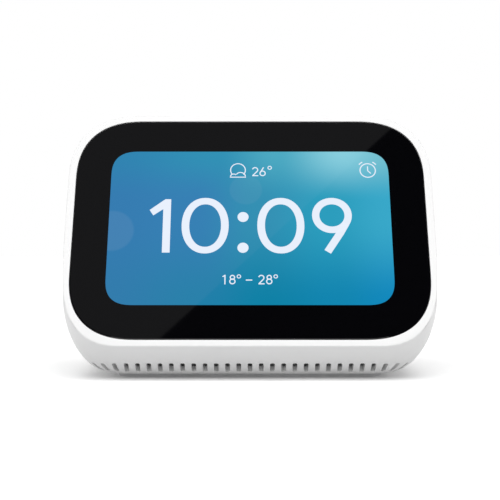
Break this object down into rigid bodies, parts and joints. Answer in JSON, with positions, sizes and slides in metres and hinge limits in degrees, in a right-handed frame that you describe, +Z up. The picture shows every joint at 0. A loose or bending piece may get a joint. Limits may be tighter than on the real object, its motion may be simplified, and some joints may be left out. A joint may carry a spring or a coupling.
{
  "type": "smart display",
  "caption": "Wedge-shaped desk smart display: tilted touch screen in a soft-cornered white shell with a slotted skirt, top volume buttons and a rear mute slider.",
  "frame": {"origin": "middle of the bounding box's footprint, on the surface that the rubber foot stands on", "axes": "+X to the right of someone facing the screen, +Y towards the back, +Z up"},
  "size_m": [0.113, 0.068, 0.0816],
  "materials": {
    "white_plastic": "fine satin moulded white",
    "grey_plastic": "matt light grey",
    "black_plastic": "matt black moulded",
    "black_glass": "polished, black-printed behind",
    "touch_film": "clear laminated film",
    "screen": "lit panel with a soft blue gradient",
    "light_guide": "white diffuser",
    "foam": "black foam and adhesive",
    "foot_rubber": "dark grey non-slip",
    "pale_rubber": "grey silicone",
    "mesh": "woven acoustic mesh",
    "steel": "zinc-plated sheet",
    "screw_steel": "plated screw",
    "aluminium": "plain sheet",
    "circuit_board": "green solder mask",
    "flex": "amber film",
    "chip": "black epoxy",
    "magnet": "zinc-plated pot and ferrite",
    "cone_paper": "coated paper",
    "copper": "enamelled winding",
    "cable": "black sheath"
  },
  "bodies": {
    "case": {"backlight_panel": "light_guide", "base_cover": "grey_plastic", "base_screw_1": "screw_steel", "base_screw_2": "screw_steel", "base_screw_3": "screw_steel", "base_screw_4": "screw_steel", "board_screw_1": "screw_steel", "board_screw_2": "screw_steel", "bracket_screw_1": "screw_steel", "bracket_screw_2": "screw_steel", "bracket_screw_3": "screw_steel", "bracket_screw_4": "screw_steel", "button_board": "circuit_board", "button_board_screw_1": "screw_steel", "button_board_screw_2": "screw_steel", "button_flex": "flex", "cover_glass": "black_glass", "display_bracket": "aluminium", "dust_mesh": "mesh", "glass_adhesive": "foam", "heat_spreader": "aluminium", "housing": "white_plastic", "lcd_flex": "flex", "lcd_panel": "screen", "lcd_tray": "steel", "main_board": "circuit_board", "mic_gasket": "pale_rubber", "microphone_left": "steel", "microphone_right": "steel", "mute_board": "circuit_board", "mute_switch": "steel", "power_board": "circuit_board", "power_board_screw_1": "screw_steel", "power_board_screw_2": "screw_steel", "power_lead": "cable", "power_socket": "black_plastic", "power_socket_pin": "steel", "processor_chip": "chip", "rubber_foot": "foot_rubber", "shield_can": "steel", "speaker_box": "black_plastic", "speaker_box_screw_1": "screw_steel", "speaker_box_screw_2": "screw_steel", "speaker_frame": "steel", "speaker_gasket": "foam", "speaker_lead": "cable", "speaker_magnet": "magnet", "speaker_screw_1": "screw_steel", "speaker_screw_2": "screw_steel", "speaker_surround": "foot_rubber", "touch_sensor": "touch_film", "volume_down_switch": "black_plastic", "volume_up_switch": "black_plastic"},
    "volume_up_body": {"volume_up_button": "white_plastic"},
    "volume_down_body": {"volume_down_button": "white_plastic"},
    "mute_body": {"mute_slider": "grey_plastic"},
    "cone_body": {"speaker_cone": "cone_paper", "voice_coil": "copper", "speaker_dust_cap": "cone_paper"}
  },
  "joints": [
    {"name": "volume_up_press", "type": "slide", "parent": "case", "child": "volume_up_body", "axis": [0, 0, -1], "range_m": [0, 0.0003], "stiffness_N_per_m": 3000},
    {"name": "volume_down_press", "type": "slide", "parent": "case", "child": "volume_down_body", "axis": [0, 0, -1], "range_m": [0, 0.0003], "stiffness_N_per_m": 3000},
    {"name": "mute_slide", "type": "slide", "parent": "case", "child": "mute_body", "axis": [1, 0, 0], "range_m": [0, 0.0026]},
    {"name": "cone_travel", "type": "slide", "parent": "case", "child": "cone_body", "axis": [0, 0, -1], "range_m": [-0.001, 0.001], "stiffness_N_per_m": 1000}
  ]
}
